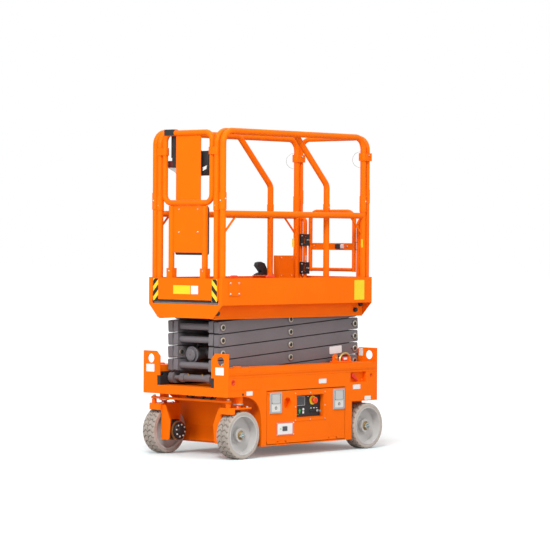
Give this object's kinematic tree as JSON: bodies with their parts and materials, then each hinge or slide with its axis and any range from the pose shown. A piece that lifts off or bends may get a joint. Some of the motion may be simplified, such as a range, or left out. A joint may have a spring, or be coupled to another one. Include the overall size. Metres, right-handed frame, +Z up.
{
  "type": "compact electric scissor lift",
  "caption": "Compact electric slab scissor lift with steered front wheels, folding scissor stack, guarded platform, sliding deck extension, rear gate and side doors.",
  "frame": {"origin": "middle of the bounding box on the ground under the machine", "axes": "+X forward to the steered end and deck extension, +Y to the machine's left, +Z up"},
  "size_m": [1.525, 0.764, 2.1],
  "materials": {
    "orange_paint": "gloss",
    "grey_paint": "satin",
    "dark_paint": "satin",
    "rim_paint": "satin",
    "tyre_grey": "matt",
    "black_plastic": "matt",
    "grey_plastic": "satin",
    "bright_rod": "polished",
    "steel_wire": "satin",
    "deck_plate": "satin"
  },
  "bodies": {
    "chassis": {"base_tub": "orange_paint", "base_trough": "orange_paint", "base_side_left": "orange_paint", "base_side_right": "orange_paint", "front_plate": "orange_paint", "rear_plate": "orange_paint", "kingpin_beam": "orange_paint", "rear_axle": "orange_paint", "slide_tracks": "black_plastic", "power_pack": "black_plastic", "entry_ladder": "orange_paint"},
    "left_door": {"door_left": "orange_paint", "ground_controls": "black_plastic", "latches_left": "grey_plastic"},
    "right_door": {"door_right": "orange_paint", "latches_right": "grey_plastic"},
    "left_knuckle": {"knuckle_left": "orange_paint", "drive_motor_left": "dark_paint"},
    "right_knuckle": {"knuckle_right": "orange_paint", "drive_motor_right": "dark_paint"},
    "steering_link": {"tie_rod": "orange_paint"},
    "wheel_front_left": {"rim_front_left": "rim_paint", "tyre_front_left": "tyre_grey"},
    "wheel_front_right": {"rim_front_right": "rim_paint", "tyre_front_right": "tyre_grey"},
    "wheel_rear_left": {"rim_rear_left": "rim_paint", "tyre_rear_left": "tyre_grey"},
    "wheel_rear_right": {"rim_rear_right": "rim_paint", "tyre_rear_right": "tyre_grey"},
    "inner_1": {"inner_arms_1": "grey_paint"},
    "outer_1": {"outer_arms_1": "grey_paint"},
    "inner_2": {"inner_arms_2": "grey_paint"},
    "outer_2": {"outer_arms_2": "grey_paint"},
    "inner_3": {"inner_arms_3": "grey_paint"},
    "outer_3": {"outer_arms_3": "grey_paint"},
    "inner_4": {"inner_arms_4": "grey_paint"},
    "outer_4": {"outer_arms_4": "grey_paint"},
    "inner_5": {"inner_arms_5": "grey_paint"},
    "outer_5": {"outer_arms_5": "grey_paint"},
    "low_blocks": {"slide_blocks_low": "black_plastic"},
    "top_blocks": {"slide_blocks_top": "black_plastic"},
    "barrel": {"lift_barrel": "grey_paint"},
    "rod": {"lift_rod": "bright_rod"},
    "platform": {"platform_frame": "orange_paint", "platform_deck": "deck_plate", "toe_boards": "orange_paint", "rail_left": "orange_paint", "rail_right": "orange_paint", "rail_rear": "orange_paint", "lanyard_left": "steel_wire", "lanyard_right": "steel_wire", "outlet_box": "orange_paint"},
    "gate_frame": {"gate": "orange_paint"},
    "extension": {"ext_deck": "orange_paint", "ext_rail_left": "orange_paint", "ext_rail_right": "orange_paint", "front_loop": "orange_paint", "front_posts": "orange_paint", "control_box": "black_plastic", "document_box": "black_plastic"}
  },
  "joints": [
    {"name": "lift", "type": "hinge", "parent": "chassis", "child": "inner_1", "pos_m": [-0.64, 0, 0.5], "axis": [0, -1, 0], "range_deg": [0, 48]},
    {"name": "scissor_1", "type": "hinge", "parent": "inner_1", "child": "outer_1", "pos_m": [0.00366, 0, 0.5415], "axis": [0, 1, 0], "range_deg": [0, 96]},
    {"name": "front_pin_1", "type": "hinge", "parent": "inner_1", "child": "outer_2", "pos_m": [0.64733, 0, 0.583], "axis": [0, 1, 0], "range_deg": [0, 96]},
    {"name": "scissor_2", "type": "hinge", "parent": "outer_2", "child": "inner_2", "pos_m": [0.00366, 0, 0.6245], "axis": [0, -1, 0], "range_deg": [0, 96]},
    {"name": "rear_pin_2", "type": "hinge", "parent": "outer_2", "child": "inner_3", "pos_m": [-0.64, 0, 0.666], "axis": [0, -1, 0], "range_deg": [0, 96]},
    {"name": "scissor_3", "type": "hinge", "parent": "inner_3", "child": "outer_3", "pos_m": [0.00366, 0, 0.7075], "axis": [0, 1, 0], "range_deg": [0, 96]},
    {"name": "front_pin_3", "type": "hinge", "parent": "inner_3", "child": "outer_4", "pos_m": [0.64733, 0, 0.749], "axis": [0, 1, 0], "range_deg": [0, 96]},
    {"name": "scissor_4", "type": "hinge", "parent": "outer_4", "child": "inner_4", "pos_m": [0.00366, 0, 0.7905], "axis": [0, -1, 0], "range_deg": [0, 96]},
    {"name": "rear_pin_4", "type": "hinge", "parent": "outer_4", "child": "inner_5", "pos_m": [-0.64, 0, 0.832], "axis": [0, -1, 0], "range_deg": [0, 96]},
    {"name": "scissor_5", "type": "hinge", "parent": "inner_5", "child": "outer_5", "pos_m": [0.00366, 0, 0.8735], "axis": [0, 1, 0], "range_deg": [0, 96]},
    {"name": "platform_pin", "type": "hinge", "parent": "outer_5", "child": "platform", "pos_m": [-0.64, 0, 0.915], "axis": [0, -1, 0], "range_deg": [0, 48]},
    {"name": "low_block_pin", "type": "hinge", "parent": "outer_1", "child": "low_blocks", "pos_m": [0.64733, 0, 0.5], "axis": [0, -1, 0], "range_deg": [0, 48]},
    {"name": "top_block_pin", "type": "hinge", "parent": "inner_5", "child": "top_blocks", "pos_m": [0.64733, 0, 0.915], "axis": [0, 1, 0], "range_deg": [0, 48]},
    {"name": "cylinder_tilt", "type": "hinge", "parent": "inner_2", "child": "barrel", "pos_m": [0.51859, 0, 0.6577], "axis": [0, 1, 0], "range_deg": [0, 100.62]},
    {"name": "rod_stroke", "type": "slide", "parent": "barrel", "child": "rod", "axis": [-0.9969, 0, 0.0786], "range_m": [0, 0.16362]},
    {"name": "left_door_hinge", "type": "hinge", "parent": "chassis", "child": "left_door", "pos_m": [0, 0.372, 0.088], "axis": [-1, 0, 0], "range_deg": [0, 85]},
    {"name": "right_door_hinge", "type": "hinge", "parent": "chassis", "child": "right_door", "pos_m": [0, -0.372, 0.088], "axis": [1, 0, 0], "range_deg": [0, 85]},
    {"name": "steer", "type": "hinge", "parent": "chassis", "child": "left_knuckle", "pos_m": [0.61, 0.33, 0.36], "axis": [0, 0, 1], "range_deg": [-55, 55]},
    {"name": "steer_right", "type": "hinge", "parent": "chassis", "child": "right_knuckle", "pos_m": [0.61, -0.33, 0.36], "axis": [0, 0, 1], "range_deg": [-55, 55]},
    {"name": "tie_rod_pin", "type": "hinge", "parent": "left_knuckle", "child": "steering_link", "pos_m": [0.702, 0.33, 0.366], "axis": [0, 0, 1], "range_deg": [-55, 55]},
    {"name": "spin_front_left", "type": "hinge", "parent": "left_knuckle", "child": "wheel_front_left", "pos_m": [0.61, 0.33, 0.1525], "axis": [0, 1, 0], "continuous": true},
    {"name": "spin_front_right", "type": "hinge", "parent": "right_knuckle", "child": "wheel_front_right", "pos_m": [0.61, -0.33, 0.1525], "axis": [0, 1, 0], "continuous": true},
    {"name": "spin_rear_left", "type": "hinge", "parent": "chassis", "child": "wheel_rear_left", "pos_m": [-0.61, 0.33, 0.1525], "axis": [0, 1, 0], "continuous": true},
    {"name": "spin_rear_right", "type": "hinge", "parent": "chassis", "child": "wheel_rear_right", "pos_m": [-0.61, -0.33, 0.1525], "axis": [0, 1, 0], "continuous": true},
    {"name": "gate_hinge", "type": "hinge", "parent": "platform", "child": "gate_frame", "pos_m": [-0.6595, -0.231, 1.3], "axis": [0, 0, -1], "range_deg": [0, 75]},
    {"name": "deck_slide", "type": "slide", "parent": "platform", "child": "extension", "axis": [1, 0, 0], "range_m": [0, 0.6]}
  ],
  "couplings": [
    {"joint": "scissor_1", "follows": "lift", "ratio": 2},
    {"joint": "front_pin_1", "follows": "lift", "ratio": 2},
    {"joint": "scissor_2", "follows": "lift", "ratio": 2},
    {"joint": "rear_pin_2", "follows": "lift", "ratio": 2},
    {"joint": "scissor_3", "follows": "lift", "ratio": 2},
    {"joint": "front_pin_3", "follows": "lift", "ratio": 2},
    {"joint": "scissor_4", "follows": "lift", "ratio": 2},
    {"joint": "rear_pin_4", "follows": "lift", "ratio": 2},
    {"joint": "scissor_5", "follows": "lift", "ratio": 2},
    {"joint": "platform_pin", "follows": "lift", "ratio": 1},
    {"joint": "low_block_pin", "follows": "lift", "ratio": 1},
    {"joint": "top_block_pin", "follows": "lift", "ratio": 1},
    {"joint": "cylinder_tilt", "follows": "lift", "ratio": 2.0962},
    {"joint": "rod_stroke", "follows": "lift", "m_per_rad": 0.1953},
    {"joint": "steer_right", "follows": "steer", "ratio": 1},
    {"joint": "tie_rod_pin", "follows": "steer", "ratio": -1}
  ]
}
